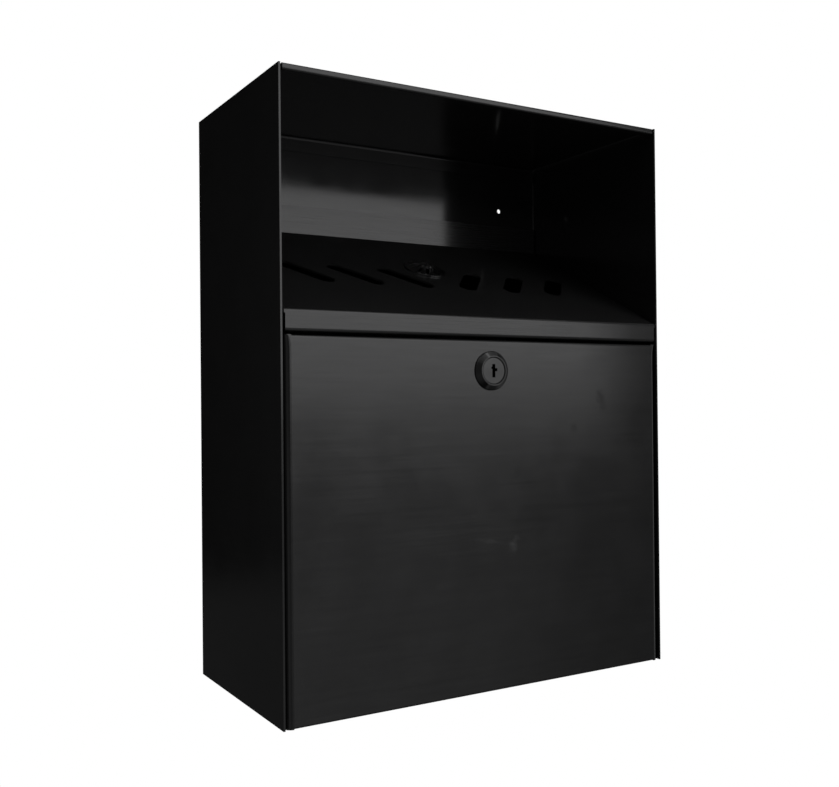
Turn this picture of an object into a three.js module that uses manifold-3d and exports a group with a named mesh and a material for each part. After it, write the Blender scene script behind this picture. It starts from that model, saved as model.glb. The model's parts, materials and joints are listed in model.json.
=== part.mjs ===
// Wall-mounted outdoor ashtray: a folded sheet-steel casing with an open hood and a slotted tray,
// over a locking door that tilts out on two pins and carries the ash bin.
// Millimetres. X runs left to right, Y runs from the front (negative) to the wall (0), Z is up.
// The origin is the centre of the casing's rear face.

import * as THREE from 'three';
import { mergeVertices } from 'three/addons/utils/BufferGeometryUtils.js';
import Module from 'manifold-3d';

const wasm = await Module();
wasm.setup();

// Driving dimensions -------------------------------------------------------------------------

const WIDTH = 252;
const DEPTH = 124;
const HEIGHT = 330;
const CASING_SHEET = 1.0;
const TRAY_SHEET = 1.2;
const DOOR_SHEET = 1.2;
const BIN_SHEET = 0.8;
const GAP = 0.3;
const FOLD_BEND = 1.5;

const WALL_HOLE_RADIUS = 1.6;
const WALL_HOLE_X = 94.3;
const WALL_HOLE_Z = 131.6;

const ROOF_FLANGE = 10;
const ROOF_HEM = 3.5;
const ROOF_HEM_DEPTH = 5;
const ROOF_BEND = 0.65;
const ROOF_REAR_BEND = 2;
const ROOF_END_CLEARANCE = 1.2;
const FLOOR_FRONT_Y = -100;
const FLOOR_FRONT_FLANGE = 5;
const FLOOR_REAR_FLANGE = 12;
const STRIKE_SHEET = 1.5;
const STRIKE_HALF_LENGTH = 22;
const STRIKE_BOTTOM_Z = 24;

const LIP_BOTTOM_Z = 32;
const LIP_TOP_Z = 43;
const LIP_RETURN = 15;
const LIP_HALF_WIDTH = 123.4;
const TRAY_REAR_Z = 104.2;
const TRAY_REAR_FLANGE = 18;
const TRAY_BEND = 1.0;
const SLOT_X = [23.3, 56.2, 88.0];
const SLOT_FROM_FRONT = 61.3;
const SLOT_WIDTH = 11;
const SLOT_STEP_X = 16.6;
const SLOT_STEP_S = 21.7;

const STUB_FROM_FRONT = 78.5;
const STUB_RADIUS = 13;
const STUB_DOME_RADIUS = 10.5;
const STUB_DOME_RISE = 3.2;
const STUB_SHEET = 1.5;
const STUB_RIM = 0.5;
const STUB_SLOTS = 10;
const STUB_SLOT_START = 4.4;
const STUB_SLOT_END = 9;
const STUB_SLOT_WIDTH = 2.2;
const STUB_CENTRE_RADIUS = 1.2;

const DOOR_TOP_Z = 30.4;
const DOOR_BOTTOM_Z = -165;
const DOOR_HALF_WIDTH = 124.3;
const DOOR_SIDE_RETURN = 20;
const DOOR_TOP_RETURN = 12;
const DOOR_BOTTOM_RETURN = 12;
const DOOR_SIDE_BEND = 3.4;
const DOOR_EDGE_BEND = 0.9;
const DOOR_CORNER_HEIGHT = 8;

const PIVOT_Y = -115;
const PIVOT_Z = -156.5;
const PIN_RADIUS = 2.5;
const PIN_LENGTH = 6;
const BUSH_BORE = 2.6;
const BUSH_RADIUS = 4;
const BUSH_FLANGE_RADIUS = 5.4;
const BUSH_FLANGE_THICKNESS = 1;
const CLIP_RADIUS = 4.6;
const CLIP_THICKNESS = 0.7;
const CLIP_FROM_PIN_END = 1.4;
const CLIP_NOTCH_WIDTH = 1.6;

const BIN_FRONT_Y = -122.2;
const BIN_REAR_Y = -10;
const BIN_FLOOR_Z = -150.4;
const BIN_RIM_Z = -11.5;
const BIN_HORN_Z = 1.8;
const BIN_HORN_WIDTH = 14;
const BIN_BEND = 2;
const BIN_STUD_X = 95;
const BIN_STUD_Z = [-128, -34];
const STUD_RADIUS = 2;
const STUD_LENGTH = 8;
const STUD_HOLE_RADIUS = 2.3;
const STUD_NUT_ACROSS_FLATS = 7;
const STUD_NUT_THICKNESS = 3.2;

const LOCK_Z = 13.2;
const LOCK_HEAD_RADIUS = 11;
const LOCK_HEAD_THICKNESS = 3;
const LOCK_BODY_RADIUS = 9;
const LOCK_BODY_END_Y = -105;
const PLUG_FACE_RADIUS = 7.6;
const PLUG_RADIUS = 6;
const KEYWAY_HEIGHT = 7.4;
const KEYWAY_WIDTH = 2;
const WAFER_COUNT = 5;
const WAFER_PITCH = 2.4;
const WAFER_THICKNESS = 0.7;
const CAM_THICKNESS = 2;
const CAM_WIDTH = 15;
const CAM_REACH = 24;
const CAM_TIP_RADIUS = 3;
const PLUG_SQUARE = 7;
const PLUG_FIT = 0.15;
const LOCK_WASHER_RADIUS = 12;
const LOCK_NUT_ACROSS_FLATS = 23;
const LOCK_NUT_THICKNESS = 4;
const WASHER_THICKNESS = 0.8;
const CAM_WASHER_RADIUS = 5.5;

// Values that follow from them ---------------------------------------------------------------

const HALF_WIDTH = WIDTH / 2;
const HALF_HEIGHT = HEIGHT / 2;
const FRONT_Y = -DEPTH;
const SIDE_INNER_X = HALF_WIDTH - CASING_SHEET;
const TRAY_SLOPE = Math.atan2(TRAY_REAR_Z - LIP_TOP_Z, DEPTH);
const DOOR_RETURN_INNER_X = DOOR_HALF_WIDTH - DOOR_SHEET;
const CHEEK_OUTER_X = DOOR_RETURN_INNER_X - GAP;
const CHEEK_INNER_X = CHEEK_OUTER_X - BIN_SHEET;
const CAM_BACK_Y = LOCK_BODY_END_Y + GAP + CAM_THICKNESS + GAP + 0.1;

// Materials ----------------------------------------------------------------------------------

function metal(color, roughness, metalness) {
  return new THREE.MeshStandardMaterial({ color, roughness, metalness });
}

const blackSteel = metal(0x2a2a2b, 0.35, 0.9);
const plainSteel = metal(0x9a9ca0, 0.45, 0.9);
const zincSteel = metal(0xb4b7ba, 0.35, 0.9);
const darkChrome = metal(0x3a3b3d, 0.15, 1.0);
const brass = metal(0xb99b55, 0.3, 1.0);
const nylon = metal(0xe4e2d8, 0.5, 0.0);

// Helpers ------------------------------------------------------------------------------------

function toSolid(geometry) {
  const bare = geometry.index ? geometry.toNonIndexed() : geometry.clone();
  bare.deleteAttribute('normal');
  bare.deleteAttribute('uv');
  const merged = mergeVertices(bare, 1e-4);
  return new wasm.Manifold(new wasm.Mesh({
    numProp: 3,
    vertProperties: new Float32Array(merged.attributes.position.array),
    triVerts: new Uint32Array(merged.index.array),
  }));
}

function toGeometry(solid) {
  const mesh = solid.getMesh();
  const geometry = new THREE.BufferGeometry();
  geometry.setAttribute('position', new THREE.BufferAttribute(mesh.vertProperties, 3));
  geometry.setIndex(new THREE.BufferAttribute(mesh.triVerts, 1));
  return geometry.toNonIndexed();
}

function cut(geometry, tools) {
  const result = tools.reduce((solid, tool) => solid.subtract(toSolid(tool)), toSolid(geometry));
  return toGeometry(result);
}

function join(geometries) {
  const solids = geometries.map(toSolid);
  return toGeometry(solids.reduce((sum, solid) => sum.add(solid)));
}

function addPiece(group, name, geometry, material) {
  geometry.computeVertexNormals();
  const piece = new THREE.Mesh(geometry, material);
  piece.name = name;
  group.add(piece);
  return piece;
}

// A plain block between two corners.
function block(low, high) {
  const size = high.map((value, axis) => value - low[axis]);
  const middle = high.map((value, axis) => (value + low[axis]) / 2);
  return new THREE.BoxGeometry(...size).translate(...middle);
}

// A round bar along Y, from y0 to y1.
function barY(radius, y0, y1, sides = 40) {
  return new THREE.CylinderGeometry(radius, radius, y1 - y0, sides).translate(0, (y0 + y1) / 2, 0);
}

// A round bar along X, from x0 to x1, whichever is larger.
function barX(radius, x0, x1, sides = 32) {
  const bar = new THREE.CylinderGeometry(radius, radius, Math.abs(x1 - x0), sides);
  return bar.rotateZ(Math.PI / 2).translate((x0 + x1) / 2, 0, 0);
}

// The edge outline of a folded sheet: route is its mid line, bend the mid radius of its folds.
// A corner of the route may give its own radius as a third value.
function sheetOutline(route, thickness, bend, steps = 5) {
  const spine = [];
  const corner = (before, at, after, radius) => {
    const into = at.clone().sub(before).normalize();
    const out = after.clone().sub(at).normalize();
    const turn = Math.atan2(into.cross(out), into.dot(out));
    const run = radius * Math.tan(Math.abs(turn) / 2);
    const start = at.clone().addScaledVector(into, -run);
    const side = new THREE.Vector2(-into.y, into.x).multiplyScalar(Math.sign(turn));
    const centre = start.clone().addScaledVector(side, radius);
    for (let i = 0; i <= steps; i += 1) {
      const angle = (turn * i) / steps;
      const arm = start.clone().sub(centre).rotateAround(new THREE.Vector2(), angle);
      const along = into.clone().rotateAround(new THREE.Vector2(), angle);
      spine.push({ at: centre.clone().add(arm), along });
    }
  };
  const points = route.map(([x, y]) => new THREE.Vector2(x, y));
  const last = points.length - 1;
  spine.push({ at: points[0], along: points[1].clone().sub(points[0]).normalize() });
  for (let i = 1; i < last; i += 1) {
    corner(points[i - 1], points[i], points[i + 1], route[i][2] ?? bend);
  }
  spine.push({ at: points[last], along: points[last].clone().sub(points[last - 1]).normalize() });
  const offset = ({ at, along }, distance) => (
    new THREE.Vector2(at.x - along.y * distance, at.y + along.x * distance)
  );
  const left = spine.map((point) => offset(point, thickness / 2));
  const right = spine.map((point) => offset(point, -thickness / 2)).reverse();
  return new THREE.Shape([...left, ...right]);
}

// Extrudes an outline drawn in (Y, Z) along X, centred, or between two X values.
function extrudeX(shape, x0, x1) {
  const body = new THREE.ExtrudeGeometry(shape, { depth: x1 - x0, bevelEnabled: false });
  const axes = new THREE.Matrix4().makeBasis(
    new THREE.Vector3(0, 1, 0),
    new THREE.Vector3(0, 0, 1),
    new THREE.Vector3(1, 0, 0),
  );
  return body.applyMatrix4(axes).translate(x0, 0, 0);
}

// Extrudes an outline drawn in (X, Y) along Z.
function extrudeZ(shape, z0, z1, curveSegments = 6) {
  const body = new THREE.ExtrudeGeometry(shape, { depth: z1 - z0, bevelEnabled: false, curveSegments });
  return body.translate(0, 0, z0);
}

// Extrudes an outline drawn in (X, Z) along Y, between two Y values.
function extrudeY(shape, y0, y1) {
  const body = new THREE.ExtrudeGeometry(shape, { depth: y1 - y0, bevelEnabled: false });
  return body.rotateX(Math.PI / 2).translate(0, y1, 0);
}

// A body through one outline per height, all with the same number of points.
function loftZ(heights, outlineAt) {
  const rings = heights.map((z) => {
    const outline = outlineAt(z);
    const ordered = THREE.ShapeUtils.isClockWise(outline) ? outline.reverse() : outline;
    return ordered.map(({ x, y }) => new THREE.Vector3(x, y, z));
  });
  const count = rings[0].length;
  const corners = [];
  for (let level = 0; level + 1 < rings.length; level += 1) {
    const low = rings[level];
    const high = rings[level + 1];
    for (let i = 0; i < count; i += 1) {
      const next = (i + 1) % count;
      corners.push(low[i], low[next], high[next], low[i], high[next], high[i]);
    }
  }
  const bottom = rings[0];
  const top = rings[rings.length - 1];
  for (const [a, b, c] of THREE.ShapeUtils.triangulateShape(bottom, [])) {
    corners.push(bottom[c], bottom[b], bottom[a]);
  }
  for (const [a, b, c] of THREE.ShapeUtils.triangulateShape(top, [])) {
    corners.push(top[a], top[b], top[c]);
  }
  return new THREE.BufferGeometry().setFromPoints(corners);
}

// A rounded slot of the given overall width, from one end centre to the other.
function slotShape(x0, y0, x1, y1, width) {
  const angle = Math.atan2(y1 - y0, x1 - x0);
  const shape = new THREE.Shape();
  shape.absarc(x1, y1, width / 2, angle - Math.PI / 2, angle + Math.PI / 2);
  shape.absarc(x0, y0, width / 2, angle + Math.PI / 2, angle + Math.PI * 1.5);
  shape.closePath();
  return shape;
}

// A turned part about Y: the profile lists radius and Y, and starts and ends on the axis.
function turnedY(profile, sides = 40) {
  return new THREE.LatheGeometry(profile.map(([radius, y]) => new THREE.Vector2(radius, y)), sides);
}

function hexagon(acrossFlats) {
  const corner = acrossFlats / 2 / Math.cos(Math.PI / 6);
  const points = [];
  for (let i = 0; i < 6; i += 1) {
    const angle = (i * Math.PI) / 3;
    points.push(new THREE.Vector2(corner * Math.cos(angle), corner * Math.sin(angle)));
  }
  return new THREE.Shape(points);
}

// Casing -------------------------------------------------------------------------------------

// Back and both sides, folded from one sheet, with four wall-screw holes in the back.
function casingWrap() {
  const sideX = HALF_WIDTH - CASING_SHEET / 2;
  const backY = -CASING_SHEET / 2;
  const plan = sheetOutline(
    [[-sideX, FRONT_Y], [-sideX, backY], [sideX, backY], [sideX, FRONT_Y]],
    CASING_SHEET,
    FOLD_BEND,
  );
  const holes = [];
  for (const x of [-WALL_HOLE_X, WALL_HOLE_X]) {
    for (const z of [-WALL_HOLE_Z, WALL_HOLE_Z]) {
      holes.push(barY(WALL_HOLE_RADIUS, -5, 5, 24).translate(x, 0, z));
    }
  }
  return cut(extrudeZ(plan, -HALF_HEIGHT, HALF_HEIGHT), holes);
}

// Roof with a folded hem along the front and a flange turned down inside the back.
function topPanel() {
  const half = CASING_SHEET / 2;
  const rearY = -CASING_SHEET - GAP - half;
  const roofZ = HALF_HEIGHT - half;
  const hemZ = HALF_HEIGHT - ROOF_HEM + half;
  const profile = sheetOutline(
    [
      [rearY, HALF_HEIGHT - ROOF_FLANGE],
      [rearY, roofZ, ROOF_REAR_BEND],
      [FRONT_Y + half, roofZ],
      [FRONT_Y + half, hemZ],
      [FRONT_Y + ROOF_HEM_DEPTH, hemZ],
    ],
    CASING_SHEET,
    ROOF_BEND,
  );
  const endX = SIDE_INNER_X - ROOF_END_CLEARANCE;
  return extrudeX(profile, -endX, endX);
}

// Floor with a stiffening flange along the front and a welding flange at the rear.
function bottomPanel() {
  const half = CASING_SHEET / 2;
  const floorZ = -HALF_HEIGHT + half;
  const rearY = -CASING_SHEET - GAP - half;
  const profile = sheetOutline(
    [
      [FLOOR_FRONT_Y + half, floorZ + FLOOR_FRONT_FLANGE],
      [FLOOR_FRONT_Y + half, floorZ],
      [rearY, floorZ],
      [rearY, floorZ + FLOOR_REAR_FLANGE],
    ],
    CASING_SHEET,
    FOLD_BEND,
  );
  return extrudeX(profile, -SIDE_INNER_X + GAP, SIDE_INNER_X - GAP);
}

// Turns a piece drawn flat, with +Y up the slope, onto the tray's upper surface.
function ontoTray(geometry, fromFront) {
  return geometry
    .translate(0, fromFront, 0)
    .rotateX(TRAY_SLOPE)
    .translate(0, FRONT_Y, LIP_TOP_Z);
}

// Sloping tray: lip and return at the front, flange at the rear, six slots and the stub hole.
// The lip stops a little short of the side panels.
function ashTray() {
  const half = TRAY_SHEET / 2;
  const drop = half / Math.cos(TRAY_SLOPE);
  const rearY = -CASING_SHEET - GAP - half;
  const surfaceZ = (y) => LIP_TOP_Z + (y - FRONT_Y) * Math.tan(TRAY_SLOPE) - drop;
  const profile = sheetOutline(
    [
      [FRONT_Y + LIP_RETURN, LIP_BOTTOM_Z + half],
      [FRONT_Y + half, LIP_BOTTOM_Z + half],
      [FRONT_Y + half, surfaceZ(FRONT_Y + half)],
      [rearY, surfaceZ(rearY)],
      [rearY, surfaceZ(rearY) + TRAY_REAR_FLANGE],
    ],
    TRAY_SHEET,
    TRAY_BEND,
  );
  const edgeX = SIDE_INNER_X - GAP * 3;
  const tools = [-1, 1].map((side) => block(
    [side > 0 ? LIP_HALF_WIDTH : -WIDTH, FRONT_Y - 1, 0],
    [side > 0 ? WIDTH : -LIP_HALF_WIDTH, FRONT_Y + LIP_RETURN + 1, LIP_TOP_Z - 2],
  ));
  for (const x of SLOT_X) {
    for (const side of [-1, 1]) {
      const dx = (SLOT_STEP_X / 2) * side;
      const shape = slotShape(x * side + dx, SLOT_STEP_S / 2, x * side - dx, -SLOT_STEP_S / 2, SLOT_WIDTH);
      tools.push(ontoTray(extrudeZ(shape, -5, 5), SLOT_FROM_FRONT));
    }
  }
  const opening = barY(STUB_DOME_RADIUS - 1, -5, 5, 32).rotateX(Math.PI / 2);
  tools.push(ontoTray(opening, STUB_FROM_FRONT));
  return cut(extrudeX(profile, -edgeX, edgeX), tools);
}

// Round stub-out plate: a thin flat rim and a thicker low dome pierced by a ring of radial slots
// and a small hole at the centre.
function stubPlate() {
  const profile = [[0, STUB_DOME_RISE]];
  const steps = 4;
  for (let i = 1; i <= steps; i += 1) {
    const share = i / steps;
    profile.push([STUB_DOME_RADIUS * share, STUB_DOME_RISE * Math.cos((share * Math.PI) / 2) ** 1.2]);
  }
  profile.push([STUB_RADIUS, 0]);
  const rimStart = STUB_DOME_RADIUS - 0.5;
  const under = profile.map(([radius, height]) => (
    [radius, height - (radius > rimStart ? STUB_RIM : STUB_SHEET)]
  ));
  const outline = [...under, ...profile.reverse()];
  const dome = turnedY(outline, 30).rotateX(Math.PI / 2);
  const tools = [];
  for (let i = 0; i < STUB_SLOTS; i += 1) {
    const shape = slotShape(STUB_SLOT_START, 0, STUB_SLOT_END, 0, STUB_SLOT_WIDTH);
    tools.push(extrudeZ(shape, -5, 5, 2).rotateZ((i * 2 * Math.PI) / STUB_SLOTS));
  }
  tools.push(barY(STUB_CENTRE_RADIUS, -5, 5, 12).rotateX(Math.PI / 2));
  return ontoTray(cut(dome, tools).translate(0, 0, STUB_RIM + GAP), STUB_FROM_FRONT);
}

// Angle behind the lip, with its long leg hanging in the cam's way when the lock is turned.
function lockStrike() {
  const half = STRIKE_SHEET / 2;
  const legY = FRONT_Y + LIP_RETURN + FOLD_BEND + half;
  const legZ = LIP_BOTTOM_Z + TRAY_SHEET + GAP + half;
  const route = [[FRONT_Y + 3, legZ], [legY, legZ], [legY, STRIKE_BOTTOM_Z]];
  const profile = sheetOutline(route, STRIKE_SHEET, FOLD_BEND);
  return extrudeX(profile, -STRIKE_HALF_LENGTH, STRIKE_HALF_LENGTH);
}

// Plain weld stud on a side panel's inner face: the pin the door tilts on.
function pivotPin(side) {
  const x = (SIDE_INNER_X - GAP) * side;
  return barX(PIN_RADIUS, x, x - PIN_LENGTH * side).translate(0, PIVOT_Y, PIVOT_Z);
}

// Push-on clip that keeps the bush on its pin.
function pivotClip(side) {
  const x = (SIDE_INNER_X - GAP - PIN_LENGTH + CLIP_FROM_PIN_END) * side;
  const disc = barX(CLIP_RADIUS, x, x + CLIP_THICKNESS * side);
  const bore = barX(PIN_RADIUS + 0.05, x - 2, x + 2);
  const notch = block([x - 2, -8, -CLIP_NOTCH_WIDTH / 2], [x + 2, 0, CLIP_NOTCH_WIDTH / 2]);
  return cut(disc, [bore, notch]).translate(0, PIVOT_Y, PIVOT_Z);
}

// Door and bin -------------------------------------------------------------------------------

// Side bend of the door at a height: full below, drawing in to a crisp corner at the top.
function doorBendAt(z) {
  const share = Math.min((DOOR_TOP_Z - z) / DOOR_CORNER_HEIGHT, 1);
  const roundness = Math.sqrt(1 - (1 - share) ** 2);
  return DOOR_EDGE_BEND + (DOOR_SIDE_BEND - DOOR_EDGE_BEND) * roundness;
}

// Door pan: face, two deep side returns and two shallower returns at top and bottom.
function doorPanel() {
  const half = DOOR_SHEET / 2;
  const faceY = FRONT_Y + half;
  const sideX = DOOR_HALF_WIDTH - half;
  const sideEndY = FRONT_Y + DOOR_SIDE_RETURN;
  const route = [[-sideX, sideEndY], [-sideX, faceY], [sideX, faceY], [sideX, sideEndY]];
  const shares = [1, 0.7, 0.45, 0.25, 0.12, 0.04, 0];
  const heights = [DOOR_BOTTOM_Z, ...shares.map((share) => DOOR_TOP_Z - DOOR_CORNER_HEIGHT * share)];
  const pan = loftZ(heights, (z) => sheetOutline(route, DOOR_SHEET, doorBendAt(z), 7).getPoints());
  const foldEndX = DOOR_HALF_WIDTH - DOOR_SIDE_BEND - half;
  const trim = 2.5;
  const sides = cut(pan, [
    block([-foldEndX, FRONT_Y - 1, DOOR_TOP_Z - trim], [foldEndX, FRONT_Y + trim, DOOR_TOP_Z + 1]),
    block([-foldEndX, FRONT_Y - 1, DOOR_BOTTOM_Z - 1], [foldEndX, FRONT_Y + trim, DOOR_BOTTOM_Z + trim]),
  ]);
  const edge = (z, inward, reach) => extrudeX(
    sheetOutline(
      [[faceY, z - inward * (trim + 1)], [faceY, z - inward * half], [FRONT_Y + reach, z - inward * half]],
      DOOR_SHEET,
      DOOR_EDGE_BEND,
    ),
    -foldEndX,
    foldEndX,
  );
  const folded = join([
    sides,
    edge(DOOR_TOP_Z, 1, DOOR_TOP_RETURN),
    edge(DOOR_BOTTOM_Z, -1, DOOR_BOTTOM_RETURN),
  ]);
  const lockHole = barY(LOCK_BODY_RADIUS + 0.2, FRONT_Y - 5, FRONT_Y + 5).translate(0, 0, LOCK_Z);
  const bushHole = barX(BUSH_RADIUS + 0.1, -HALF_WIDTH, HALF_WIDTH).translate(0, PIVOT_Y, PIVOT_Z);
  return cut(folded, [lockHole, bushHole]);
}

// Front wall, floor and rear wall of the bin, folded from one sheet.
function binWrap() {
  const half = BIN_SHEET / 2;
  const profile = sheetOutline(
    [
      [BIN_FRONT_Y + half, BIN_RIM_Z],
      [BIN_FRONT_Y + half, BIN_FLOOR_Z + half],
      [BIN_REAR_Y - half, BIN_FLOOR_Z + half],
      [BIN_REAR_Y - half, BIN_RIM_Z],
    ],
    BIN_SHEET,
    BIN_BEND,
  );
  const edgeX = CHEEK_INNER_X - GAP;
  const holes = [];
  for (const x of [-BIN_STUD_X, BIN_STUD_X]) {
    for (const z of BIN_STUD_Z) {
      holes.push(barY(STUD_HOLE_RADIUS, FRONT_Y, FRONT_Y + 5, 24).translate(x, 0, z));
    }
  }
  return cut(extrudeX(profile, -edgeX, edgeX), holes);
}

// End of the bin. Its rear corner rises in a horn that meets the tray's lip at full tilt.
function binCheek(side) {
  const shape = new THREE.Shape();
  const frontY = BIN_FRONT_Y + 1.3;
  shape.moveTo(frontY, BIN_FLOOR_Z);
  shape.lineTo(BIN_REAR_Y, BIN_FLOOR_Z);
  shape.lineTo(BIN_REAR_Y, BIN_HORN_Z);
  shape.lineTo(BIN_REAR_Y - BIN_HORN_WIDTH, BIN_HORN_Z);
  shape.quadraticCurveTo(BIN_REAR_Y - BIN_HORN_WIDTH, BIN_RIM_Z, BIN_REAR_Y - BIN_HORN_WIDTH * 2, BIN_RIM_Z);
  shape.lineTo(frontY, BIN_RIM_Z);
  shape.closePath();
  const x = side > 0 ? CHEEK_INNER_X : -CHEEK_OUTER_X;
  return extrudeX(shape, x, x + BIN_SHEET);
}

// Weld stud on the door's inner face that the bin's front wall slips over.
function binStud(x, z) {
  const start = FRONT_Y + DOOR_SHEET + GAP;
  return barY(STUD_RADIUS, start, start + STUD_LENGTH, 24).translate(x, 0, z);
}

function binNut(x, z) {
  const start = BIN_FRONT_Y + BIN_SHEET + GAP;
  const body = extrudeY(hexagon(STUD_NUT_ACROSS_FLATS), start, start + STUD_NUT_THICKNESS);
  return cut(body, [barY(STUD_RADIUS + 0.1, FRONT_Y, 0, 24)]).translate(x, 0, z);
}

// Flanged plastic bush, pressed into the door's side return from inside.
function pivotBush(side) {
  const outer = DOOR_HALF_WIDTH * side;
  const inner = (DOOR_RETURN_INNER_X - GAP / 3) * side;
  const flangeEnd = inner - BUSH_FLANGE_THICKNESS * side;
  const sleeve = barX(BUSH_RADIUS, outer, flangeEnd);
  const flange = barX(BUSH_FLANGE_RADIUS, inner, flangeEnd);
  const bore = barX(BUSH_BORE, outer + side, flangeEnd - side);
  return cut(join([sleeve, flange]), [bore]).translate(0, PIVOT_Y, PIVOT_Z);
}

// Cam lock -----------------------------------------------------------------------------------

// Housing: bevelled head outside the door, threaded body with two flats inside it.
function lockHousing() {
  const headFront = FRONT_Y - LOCK_HEAD_THICKNESS;
  const headBack = FRONT_Y - 0.1;
  const boreRadius = PLUG_RADIUS + PLUG_FIT;
  const mouthRadius = PLUG_FACE_RADIUS + 0.2;
  const mouthDepth = 2.6;
  const shell = turnedY([
    [mouthRadius, headFront],
    [LOCK_HEAD_RADIUS - 2.7, headFront],
    [LOCK_HEAD_RADIUS - 0.4, headFront + 1.8],
    [LOCK_HEAD_RADIUS, headFront + 2.4],
    [LOCK_HEAD_RADIUS, headBack],
    [LOCK_BODY_RADIUS, headBack],
    [LOCK_BODY_RADIUS, LOCK_BODY_END_Y - 0.6],
    [LOCK_BODY_RADIUS - 0.6, LOCK_BODY_END_Y],
    [boreRadius, LOCK_BODY_END_Y],
    [boreRadius, headFront + mouthDepth],
    [mouthRadius, headFront + mouthDepth],
    [mouthRadius, headFront],
  ]);
  const flatX = LOCK_BODY_RADIUS - 1;
  const flats = [-1, 1].map((side) => block(
    [side > 0 ? flatX : -20, headBack + 1.5, -20],
    [side > 0 ? 20 : -flatX, 0, 20],
  ));
  return cut(shell, flats).translate(0, 0, LOCK_Z);
}

function lockWasher() {
  const start = FRONT_Y + DOOR_SHEET + GAP;
  const disc = barY(LOCK_WASHER_RADIUS, start, start + WASHER_THICKNESS);
  return cut(disc, [barY(LOCK_BODY_RADIUS + 0.2, FRONT_Y, 0)]).translate(0, 0, LOCK_Z);
}

function lockNut() {
  const start = FRONT_Y + DOOR_SHEET + GAP + WASHER_THICKNESS + GAP;
  const body = extrudeY(hexagon(LOCK_NUT_ACROSS_FLATS), start, start + LOCK_NUT_THICKNESS);
  return cut(body, [barY(LOCK_BODY_RADIUS + 0.15, FRONT_Y, 0)]).translate(0, 0, LOCK_Z);
}

function waferY(index) {
  return FRONT_Y + 4 + index * WAFER_PITCH;
}

// Plug: round face, body slotted for the wafers, keyway, and a square end for the cam.
function lockPlug() {
  const faceY = FRONT_Y - LOCK_HEAD_THICKNESS + 0.5;
  const shoulderY = FRONT_Y - LOCK_HEAD_THICKNESS + 2.4;
  const squareStart = LOCK_BODY_END_Y - 0.3;
  const turned = turnedY([
    [0, faceY],
    [PLUG_FACE_RADIUS - 0.4, faceY],
    [PLUG_FACE_RADIUS, faceY + 0.4],
    [PLUG_FACE_RADIUS, shoulderY],
    [PLUG_RADIUS, shoulderY],
    [PLUG_RADIUS, squareStart],
    [0, squareStart],
  ]);
  const half = PLUG_SQUARE / 2;
  const squareEnd = LOCK_BODY_END_Y + CAM_THICKNESS + GAP * 2;
  const square = block([-half, squareStart - 1, -half], [half, squareEnd, half]);
  const keyway = block(
    [-KEYWAY_WIDTH / 2, faceY - 1, -KEYWAY_HEIGHT / 2],
    [KEYWAY_WIDTH / 2, squareStart - 2.5, KEYWAY_HEIGHT / 2],
  );
  const wards = [
    block([0, faceY - 1, -0.3], [KEYWAY_WIDTH / 2 + 1.4, squareStart - 2.5, 1.4]),
    block([-KEYWAY_WIDTH / 2 - 0.6, faceY - 1, 1], [0, squareStart - 2.5, 2.2]),
  ];
  const screwHole = barY(1.5, squareStart - 2, 0, 24);
  const slots = [];
  for (let i = 0; i < WAFER_COUNT; i += 1) {
    const y = waferY(i);
    slots.push(block([-3.2, y - 0.45, -8], [3.2, y + 0.45, 8]));
  }
  return cut(join([turned, square]), [keyway, ...wards, screwHole, ...slots]).translate(0, 0, LOCK_Z);
}

// Wafer: a plate with a window for the key and a notch at one side for its spring.
function lockWafer(index) {
  const lift = 0.3 * Math.cos(index * 2);
  const low = waferY(index) - WAFER_THICKNESS / 2;
  const plate = block([-3, low, -5.2], [3, low + WAFER_THICKNESS, 5.2]);
  const window = block([-1.2, low - 1, -3.4 - lift], [1.2, low + 2, 3.2 - lift]);
  const notch = block([1.7, low - 1, -3.2], [4, low + 2, 1.6]);
  return cut(plate, [window, notch]).translate(0, 0, LOCK_Z);
}

// Coil spring beside a wafer.
function waferSpring(index) {
  const turns = 3;
  const stepsPerTurn = 6;
  const height = 4.2;
  const radius = 0.3;
  const wire = 0.1;
  const points = [];
  for (let i = 0; i <= turns * stepsPerTurn; i += 1) {
    const angle = (i * 2 * Math.PI) / stepsPerTurn;
    const rise = (height * i) / (turns * stepsPerTurn) - height / 2;
    points.push(new THREE.Vector3(radius * Math.cos(angle), radius * Math.sin(angle), rise));
  }
  const section = new THREE.Shape();
  section.absarc(0, 0, wire, 0, Math.PI * 2);
  const coil = new THREE.ExtrudeGeometry(section, {
    steps: turns * stepsPerTurn,
    bevelEnabled: false,
    curveSegments: 3,
    extrudePath: new THREE.CatmullRomCurve3(points),
  });
  return coil.translate(2.3, waferY(index), LOCK_Z - 0.8);
}

// Cam: an arm with a rounded tip and a square hole, pointing left when unlocked.
function lockCam() {
  const half = CAM_WIDTH / 2;
  const tip = CAM_TIP_RADIUS;
  const shape = new THREE.Shape();
  shape.absarc(0, 0, half, -Math.PI / 2, Math.PI / 2);
  shape.absarc(-CAM_REACH + tip, half - tip, tip, Math.PI / 2, Math.PI);
  shape.absarc(-CAM_REACH + tip, -half + tip, tip, Math.PI, Math.PI * 1.5);
  shape.closePath();
  const low = LOCK_BODY_END_Y + GAP;
  const hole = PLUG_SQUARE / 2 + PLUG_FIT;
  const square = block([-hole, low - 5, -hole], [hole, low + 10, hole]);
  return cut(extrudeY(shape, low, low + CAM_THICKNESS), [square]).translate(0, 0, LOCK_Z);
}

function camWasher() {
  const start = CAM_BACK_Y + GAP;
  const disc = barY(CAM_WASHER_RADIUS, start, start + WASHER_THICKNESS);
  return cut(disc, [barY(1.7, -DEPTH, 0, 24)]).translate(0, 0, LOCK_Z);
}

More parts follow.
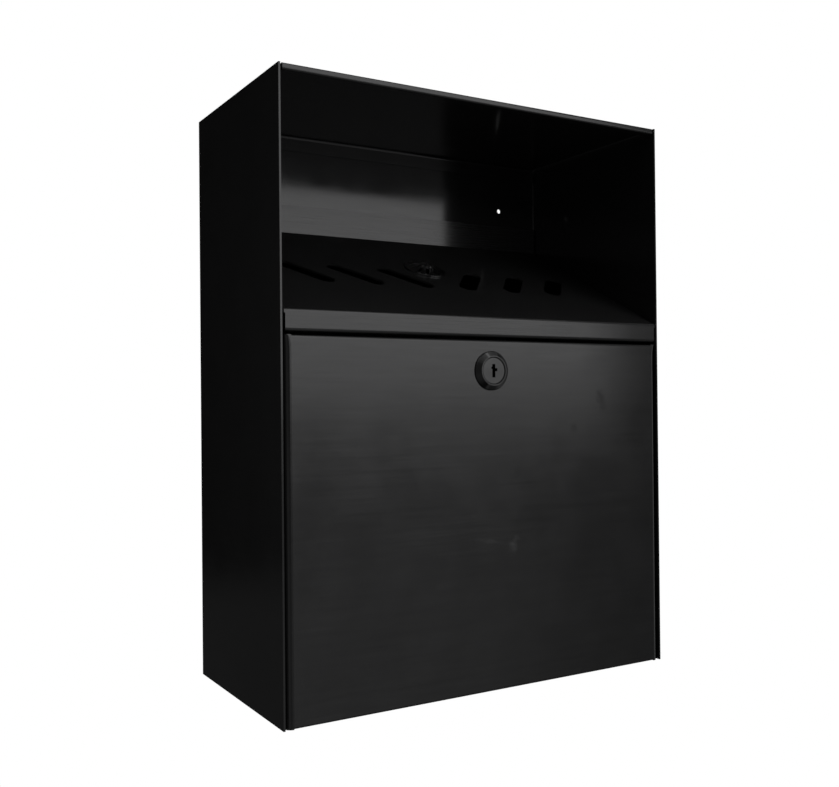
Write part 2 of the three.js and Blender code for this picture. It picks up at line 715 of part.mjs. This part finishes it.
// Pan-head screw into the plug's square end, with a cross recess.
function camScrew() {
  const headStart = CAM_BACK_Y + GAP * 2 + WASHER_THICKNESS;
  const shaft = turnedY([
    [0, headStart - 6],
    [1.3, headStart - 6],
    [1.3, headStart],
    [3.4, headStart],
    [3.4, headStart + 1.2],
    [2.4, headStart + 2.1],
    [0, headStart + 2.4],
  ], 32);
  const recess = [
    block([-1.8, headStart + 1, -0.4], [1.8, headStart + 5, 0.4]),
    block([-0.4, headStart + 1, -1.8], [0.4, headStart + 5, 1.8]),
  ];
  return cut(shaft, recess).translate(0, 0, LOCK_Z);
}

// Assembly -----------------------------------------------------------------------------------

const casing = new THREE.Group();
addPiece(casing, 'casing_wrap', casingWrap(), blackSteel);
addPiece(casing, 'top_panel', topPanel(), blackSteel);
addPiece(casing, 'bottom_panel', bottomPanel(), blackSteel);
addPiece(casing, 'ash_tray', ashTray(), blackSteel);
addPiece(casing, 'stub_plate', stubPlate(), blackSteel);
addPiece(casing, 'lock_strike', lockStrike(), blackSteel);

const door = new THREE.Group();
addPiece(door, 'door_panel', doorPanel(), blackSteel);
addPiece(door, 'bin_wrap', binWrap(), plainSteel);

for (const [side, label] of [[-1, 'left'], [1, 'right']]) {
  addPiece(casing, `pivot_pin_${label}`, pivotPin(side), plainSteel);
  addPiece(casing, `pivot_clip_${label}`, pivotClip(side), zincSteel);
  addPiece(door, `bin_cheek_${label}`, binCheek(side), plainSteel);
  addPiece(door, `pivot_bush_${label}`, pivotBush(side), nylon);
  BIN_STUD_Z.forEach((z, row) => {
    const place = `${row ? 'upper' : 'lower'}_${label}`;
    addPiece(door, `bin_stud_${place}`, binStud(BIN_STUD_X * side, z), plainSteel);
    addPiece(door, `bin_nut_${place}`, binNut(BIN_STUD_X * side, z), zincSteel);
  });
}

addPiece(door, 'lock_housing', lockHousing(), darkChrome);
addPiece(door, 'lock_washer', lockWasher(), zincSteel);
addPiece(door, 'lock_nut', lockNut(), zincSteel);

const plug = new THREE.Group();
addPiece(plug, 'lock_plug', lockPlug(), darkChrome);
addPiece(plug, 'lock_cam', lockCam(), zincSteel);
addPiece(plug, 'cam_washer', camWasher(), zincSteel);
addPiece(plug, 'cam_screw', camScrew(), zincSteel);
for (let i = 0; i < WAFER_COUNT; i += 1) {
  addPiece(plug, `lock_wafer_${i + 1}`, lockWafer(i), brass);
  addPiece(plug, `wafer_spring_${i + 1}`, waferSpring(i), plainSteel);
}
door.add(plug);

const ashtray = new THREE.Group();
ashtray.add(casing, door);

export default ashtray;
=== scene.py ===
import json
import math

import bpy
from mathutils import Matrix, Vector

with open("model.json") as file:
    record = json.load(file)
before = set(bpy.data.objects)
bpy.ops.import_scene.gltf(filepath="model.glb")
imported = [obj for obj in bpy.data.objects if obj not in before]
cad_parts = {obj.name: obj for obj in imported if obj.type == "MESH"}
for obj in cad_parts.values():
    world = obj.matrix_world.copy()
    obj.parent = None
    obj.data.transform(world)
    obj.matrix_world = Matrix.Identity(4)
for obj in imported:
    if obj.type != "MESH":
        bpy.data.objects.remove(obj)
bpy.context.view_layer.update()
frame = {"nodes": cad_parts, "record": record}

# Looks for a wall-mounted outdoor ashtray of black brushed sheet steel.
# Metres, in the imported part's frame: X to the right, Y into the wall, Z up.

NODES = frame["nodes"]
MM = 0.001

# Brushed grain: noise cells per metre along and across it, and depths in metres.
GRAIN_LENGTHWISE = 40.0
GRAIN_CROSSWISE = 2600.0
GRAIN_DEPTH = 2e-6
WAVE_DEPTH = 2.0e-4
# Noise cells per metre for the sheets' slow waves and for their clouding.
WAVE_SCALE = 9.0
CLOUD_SCALE = 34.0
# How far the grain, its broad streaks and the clouds change the tone.
GRAIN_TONE = (0.88, 1.12)
STREAK_TONE = (0.975, 1.025)
CLOUD_TONE = (0.95, 1.05)

# Black sheet: shade, roughness of the front pieces and of the wrap, and its metallic share.
BLACK = 0.079
FRONT_ROUGHNESS = 0.15
WRAP_ROUGHNESS = 0.11
METALLIC_SHARE = 0.8

# Small rounds on the edges of the outer pieces, in metres.
EDGE_ROUND = 0.12e-3
STUB_EDGE_ROUND = 0.4e-3
EDGE_ANGLE = math.radians(50)

# Camera, where the photographer stood: below the hood's height, to the object's left.
CAMERA_PLACE = Vector((-315.9, -574.8, -3.2)) * MM
CAMERA_YAW = math.radians(-30.845)
CAMERA_PITCH = math.radians(0.43)
CAMERA_ROLL = math.radians(-0.524)
CAMERA_LENS = 42.28
SENSOR_WIDTH = 36.0

# The room the metal reflects. Azimuths run from straight in front toward the object's right.
WINDOW_RIGHT = 42.2
WINDOW_LEFT = 6.0
WINDOW_LIGHT = 1.06
GLOW_FAR = 0.085
GLOW_NEAR = 0.2
ROOM_LIGHT = 0.006
FLOOR_LIGHT = 0.024
CEILING_LIGHT = 0.4
# Window ends and the brighter part of its glow: cosines where each begins and is full.
RIGHT_END = (-0.015, 0.015)
LEFT_END = (-0.05, 0.15)
NEAR_PART = (-0.03, 0.16)
# Heights, as the vertical part of a direction, where the sill, ceiling and floor begin and are full.
SILL = (-0.06, 0.038)
CEILING = (0.42, 1.0)
FLOOR = (-0.15, -0.2)
# Softer lights round the room: azimuth, cosine where each begins and is full, strength.
SIDE_LIGHTS = (
    (100, 0.56, 1.0, 0.4),
    (150, 0.72, 1.0, 0.16),
    (-118, 0.7, 1.0, 0.07),
    (-60, 0.3, 0.95, 0.09),
)
BACKDROP_SIZE = 8
BACKDROP_HEIGHT = -0.62
WHITE = (1, 1, 1, 1)


# Node graphs ---------------------------------------------------------------------------------


class Graph:
    """Short calls for building one node tree."""

    def __init__(self, tree):
        self.tree = tree
        tree.nodes.clear()

    def add(self, kind, inputs=None, **settings):
        node = self.tree.nodes.new(kind)
        for key, value in settings.items():
            setattr(node, key, value)
        for key, value in (inputs or {}).items():
            self.feed(node.inputs[key], value)
        return node

    def feed(self, socket, value):
        if isinstance(value, bpy.types.NodeSocket):
            self.tree.links.new(value, socket)
        else:
            socket.default_value = value

    def math(self, operation, first, second=0.0):
        return self.add("ShaderNodeMath", {0: first, 1: second}, operation=operation).outputs[0]

    def vector(self, operation, first, second=(0, 0, 0)):
        node = self.add("ShaderNodeVectorMath", {0: first, 1: second}, operation=operation)
        return node.outputs["Value" if operation in ("DOT_PRODUCT", "LENGTH") else "Vector"]

    def ramp(self, value, low, high, out_low=0.0, out_high=1.0, smooth=True):
        kind = "SMOOTHSTEP" if smooth else "LINEAR"
        inputs = {
            "Value": value,
            "From Min": low,
            "From Max": high,
            "To Min": out_low,
            "To Max": out_high,
        }
        return self.add("ShaderNodeMapRange", inputs, interpolation_type=kind).outputs["Result"]

    def place(self, scale=(1, 1, 1), offset=(0, 0, 0)):
        """The point on the piece, in metres, stretched by scale."""
        coords = self.add("ShaderNodeTexCoord").outputs["Object"]
        inputs = {"Vector": coords, "Location": offset, "Scale": scale}
        return self.add("ShaderNodeMapping", inputs).outputs[0]

    def noise(self, vector, scale, detail=3.0, roughness=0.5):
        inputs = {"Vector": vector, "Scale": scale, "Detail": detail, "Roughness": roughness}
        return self.add("ShaderNodeTexNoise", inputs).outputs["Fac"]

    def blend(self, share, first, second):
        node = self.add("ShaderNodeMix", data_type="RGBA")
        self.feed(node.inputs["Factor"], share)
        self.feed(node.inputs["A"], first)
        self.feed(node.inputs["B"], second)
        return node.outputs["Result"]

    def mark(self, x, z, width, height, lean):
        """A soft uneven patch on a front face: centre and size in mm, lean in degrees."""
        coords = self.add("ShaderNodeTexCoord").outputs["Object"]
        inputs = {
            "Vector": coords,
            "Location": (x * MM, 0, z * MM),
            "Rotation": (0, math.radians(lean), 0),
            "Scale": (width * MM, 1, height * MM),
        }
        local = self.add("ShaderNodeMapping", inputs, vector_type="TEXTURE").outputs[0]
        flat = self.vector("MULTIPLY", local, (1, 0, 1))
        ragged = self.noise(coords, 260.0, detail=3.0)
        far = self.math("ADD", self.vector("LENGTH", flat), self.ramp(ragged, 0.3, 0.7, -0.35, 0.35))
        return self.ramp(far, 1.0, 0.2)

    def bump(self, height, distance, under=None):
        inputs = {"Height": height, "Distance": distance, "Strength": 1.0}
        if under is not None:
            inputs["Normal"] = under
        return self.add("ShaderNodeBump", inputs).outputs["Normal"]


def grey(value):
    return (value, value, value * 1.01, 1.0)


def new_material(name):
    material = bpy.data.materials.new(name)
    material.use_nodes = True
    return material, Graph(material.node_tree)


def finish_material(material, graph, shader):
    graph.add("ShaderNodeOutputMaterial", {"Surface": shader.outputs[0]})
    return material


# Materials -----------------------------------------------------------------------------------


def brushed_steel(name, shade, roughness, grain_axes, metallic=1.0, anisotropy=0.65, wear=()):
    """Sheet metal with a fine grain along its axes, soft waves, clouding and handling marks."""
    material, graph = new_material(name)
    stretch = [GRAIN_LENGTHWISE if axis in grain_axes else GRAIN_CROSSWISE for axis in range(3)]
    grain = graph.noise(graph.place(stretch), 1.0, detail=5.0, roughness=0.62)
    streaks = graph.noise(graph.place([value * 0.2 for value in stretch], (3, 1, 2)), 1.0, detail=3.0)
    waves = graph.noise(graph.place(), WAVE_SCALE, detail=1.0)
    cloud_place = graph.place(offset=(0.3, 0.1, 0.7))
    clouds = graph.noise(cloud_place, CLOUD_SCALE, detail=5.0, roughness=0.6)
    tone = graph.ramp(grain, 0.25, 0.75, *GRAIN_TONE)
    tone = graph.math("MULTIPLY", tone, graph.ramp(streaks, 0.25, 0.75, *STREAK_TONE))
    tone = graph.math("MULTIPLY", tone, graph.ramp(clouds, 0.25, 0.75, *CLOUD_TONE))
    spread = graph.math("ADD", graph.ramp(clouds, 0.25, 0.75, -0.02, 0.03), roughness)
    spread = graph.math("ADD", graph.ramp(streaks, 0.25, 0.75, -0.008, 0.008), spread)
    for x, z, width, height, lean, change in wear:
        mark = graph.mark(x, z, width, height, lean)
        tone = graph.math("MULTIPLY", tone, graph.math("ADD", graph.math("MULTIPLY", mark, change), 1.0))
        spread = graph.math("ADD", graph.math("MULTIPLY", mark, 0.06), spread)
    colour = graph.blend(graph.math("MULTIPLY", tone, 0.5), grey(0.0), grey(shade * 2))
    normal = graph.bump(grain, GRAIN_DEPTH, under=graph.bump(waves, WAVE_DEPTH))
    if len(grain_axes) == 1:
        along = tuple(1.0 if axis in grain_axes else 0.0 for axis in range(3))
        face = graph.add("ShaderNodeNewGeometry").outputs["Normal"]
        across = graph.vector("CROSS_PRODUCT", face, along)
    else:
        upright = tuple(0.0 if axis in grain_axes else 1.0 for axis in range(3))
        across = graph.add("ShaderNodeCombineXYZ", dict(enumerate(upright))).outputs[0]
    shader = graph.add("ShaderNodeBsdfPrincipled", {
        "Base Color": colour,
        "Metallic": metallic,
        "Roughness": spread,
        "Anisotropic": anisotropy,
        "Tangent": across,
        "Normal": normal,
    })
    return finish_material(material, graph, shader)


def plain_metal(name, shade, roughness, tint=(1.0, 1.0, 1.01), speckle=900.0, depth=2e-6):
    """Plated or mill-finished metal: an even fine grain with slight clouding."""
    material, graph = new_material(name)
    grain = graph.noise(graph.place(), speckle, detail=4.0, roughness=0.6)
    clouds = graph.noise(graph.place(offset=(0.2, 0.5, 0.1)), 60.0, detail=3.0)
    dark = tuple(shade * 0.8 * part for part in tint) + (1.0,)
    light = tuple(shade * 1.15 * part for part in tint) + (1.0,)
    colour = graph.blend(graph.ramp(clouds, 0.3, 0.7), dark, light)
    shader = graph.add("ShaderNodeBsdfPrincipled", {
        "Base Color": colour,
        "Metallic": 1.0,
        "Roughness": graph.ramp(clouds, 0.3, 0.7, roughness - 0.05, roughness + 0.07),
        "Normal": graph.bump(grain, depth),
    })
    return finish_material(material, graph, shader)


def moulded_nylon(name):
    material, graph = new_material(name)
    grain = graph.noise(graph.place(), 1400.0, detail=3.0)
    clouds = graph.noise(graph.place(), 120.0, detail=2.0)
    colour = graph.blend(graph.ramp(clouds, 0.3, 0.7), (0.70, 0.69, 0.63, 1), (0.80, 0.79, 0.74, 1))
    shader = graph.add("ShaderNodeBsdfPrincipled", {
        "Base Color": colour,
        "Roughness": graph.ramp(grain, 0.3, 0.7, 0.42, 0.55),
        "Normal": graph.bump(grain, 6e-6),
        "Subsurface Weight": 0.1,
    })
    return finish_material(material, graph, shader)


X_AXIS, Y_AXIS = 0, 1
# Marks on the door: place, width and height in mm, lean in degrees, change of tone.
DOOR_WEAR = (
    (14.5, -85, 5, 6, 0, 0.22),
    (0, -82, 16, 1.6, 10, 0.1),
    (17, -45.5, 7, 4, -35, -0.3),
    (59, -20, 5, 4, 20, -0.2),
    (92, -29, 5, 7, 15, -0.2),
    (80, -3, 4, 8, -20, -0.16),
)
front_steel = brushed_steel("black_steel_across", BLACK, FRONT_ROUGHNESS, [X_AXIS], METALLIC_SHARE)
door_steel = brushed_steel(
    "black_steel_door", BLACK, FRONT_ROUGHNESS, [X_AXIS], METALLIC_SHARE, wear=DOOR_WEAR
)
wrap_steel = brushed_steel(
    "black_steel_wrap", BLACK, WRAP_ROUGHNESS, [X_AXIS, Y_AXIS], METALLIC_SHARE
)
# The tray is a lighter, less metallic copy of the black sheet: painted light that brightens it inside the
# shaded hood.
tray_painted_light = brushed_steel("black_steel_tray_painted_light", BLACK * 1.06, 0.16, [X_AXIS], metallic=0.7)
bin_steel = brushed_steel("bin_steel", 0.42, 0.36, [X_AXIS, Y_AXIS], anisotropy=0.4)
stub_steel = plain_metal("stub_plate_steel", 0.5, 0.25)
zinc = plain_metal("zinc_plate", 0.6, 0.3)
black_chrome = plain_metal("black_chrome", 0.076, 0.1)
# The strike gets a near-black rough finish as painted shade, so the gap between the door top and the tray
# lip stays dark.
strike_painted_shade = plain_metal("strike_painted_shade", 0.015, 0.5)
wafer_brass = plain_metal("wafer_brass", 0.6, 0.3, tint=(1.0, 0.8, 0.42))
nylon = moulded_nylon("bush_nylon")

LOOKS = {
    "black_steel": front_steel,
    "bin_steel": bin_steel,
    "zinc_steel": zinc,
    "lock_metal": black_chrome,
    "wafer_brass": wafer_brass,
    "bush_nylon": nylon,
}
# Pieces whose look differs from the rest of their slot; the tray's look holds painted light and the
# strike's holds painted shade.
OWN_LOOKS = {
    "casing_wrap": wrap_steel,
    "door_panel": door_steel,
    "ash_tray": tray_painted_light,
    "stub_plate": stub_steel,
    "lock_strike": strike_painted_shade,
}
ROUNDED = (
    "casing_wrap",
    "top_panel",
    "ash_tray",
    "door_panel",
    "bottom_panel",
    "lock_housing",
    "lock_plug",
)


def dress(piece, material):
    piece.data.materials.clear()
    piece.data.materials.append(material)


def soften_edges(piece, width=EDGE_ROUND, segments=2):
    bevel = piece.modifiers.new("soft_edges", "BEVEL")
    bevel.width = width
    bevel.segments = segments
    bevel.limit_method = "ANGLE"
    bevel.angle_limit = EDGE_ANGLE


for entry in frame["record"]["subparts"]:
    node = entry["node"]
    dress(NODES[node], OWN_LOOKS.get(node, LOOKS[entry["material_slot"]]))
for name in ROUNDED:
    soften_edges(NODES[name])
soften_edges(NODES["stub_plate"], width=STUB_EDGE_ROUND, segments=3)


# Studio --------------------------------------------------------------------------------------


def make_camera():
    data = bpy.data.cameras.new("camera")
    data.lens = CAMERA_LENS
    data.sensor_width = SENSOR_WIDTH
    data.clip_start = 0.01
    camera = bpy.data.objects.new("camera", data)
    turn = Matrix.Rotation(CAMERA_YAW, 4, "Z") @ Matrix.Rotation(math.radians(90) + CAMERA_PITCH, 4, "X")
    camera.matrix_world = Matrix.Translation(CAMERA_PLACE) @ turn @ Matrix.Rotation(CAMERA_ROLL, 4, "Z")
    bpy.context.scene.collection.objects.link(camera)
    bpy.context.scene.camera = camera


def make_world():
    """White to the camera. Reflections see a dim room with a tall bright window wall at the front."""
    world = bpy.data.worlds.new("studio")
    world.use_nodes = True
    bpy.context.scene.world = world
    graph = Graph(world.node_tree)
    direction = graph.add("ShaderNodeTexCoord").outputs["Generated"]
    height = graph.add("ShaderNodeSeparateXYZ", {0: direction}).outputs["Z"]

    def facing(azimuth, low, high):
        """Share that rises with how far a direction turns toward an azimuth, measured from the front."""
        angle = math.radians(azimuth)
        aim = (math.sin(angle), -math.cos(angle), 0.0)
        return graph.ramp(graph.vector("DOT_PRODUCT", direction, aim), low, high)

    right_end = facing(WINDOW_RIGHT - 90, *RIGHT_END)
    left_end = facing(WINDOW_LEFT + 90, *LEFT_END)
    near = facing(WINDOW_RIGHT - 90, *NEAR_PART)
    glow = graph.math("MULTIPLY", left_end, graph.ramp(near, 0.0, 1.0, GLOW_FAR, GLOW_NEAR, smooth=False))
    sill = graph.ramp(height, *SILL, 0.0, WINDOW_LIGHT, smooth=False)
    window = graph.math("MULTIPLY", graph.math("MULTIPLY", right_end, left_end), sill)
    window = graph.math("MAXIMUM", window, glow)
    room = graph.math("ADD", ROOM_LIGHT, graph.ramp(height, *CEILING, 0.0, CEILING_LIGHT))
    room = graph.math("ADD", room, graph.ramp(height, *FLOOR, 0.0, FLOOR_LIGHT))
    for azimuth, low, high, light in SIDE_LIGHTS:
        room = graph.math("ADD", room, graph.math("MULTIPLY", facing(azimuth, low, high), light))
    total = graph.math("MAXIMUM", room, window)
    rays = graph.add("ShaderNodeLightPath")
    strength = graph.add("ShaderNodeMix", data_type="FLOAT")
    graph.feed(strength.inputs["Factor"], rays.outputs["Is Camera Ray"])
    graph.feed(strength.inputs["A"], total)
    graph.feed(strength.inputs["B"], 1.0)
    inputs = {"Color": WHITE, "Strength": strength.outputs["Result"]}
    background = graph.add("ShaderNodeBackground", inputs)
    graph.add("ShaderNodeOutputWorld", {"Surface": background.outputs[0]})


def make_floor():
    """A glowing white floor that only the camera sees, so the metal reflects the room alone."""
    bpy.ops.mesh.primitive_plane_add(size=BACKDROP_SIZE, location=(0, 0, BACKDROP_HEIGHT))
    floor = bpy.context.object
    floor.name = "floor"
    material, graph = new_material("pale_floor")
    glow = graph.add("ShaderNodeEmission", {"Color": WHITE, "Strength": 1.0})
    finish_material(material, graph, glow)
    dress(floor, material)
    floor.visible_glossy = False
    floor.visible_diffuse = False
    floor.visible_shadow = False


make_camera()
make_world()
make_floor()

bpy.context.scene.view_settings.view_transform = "Standard"
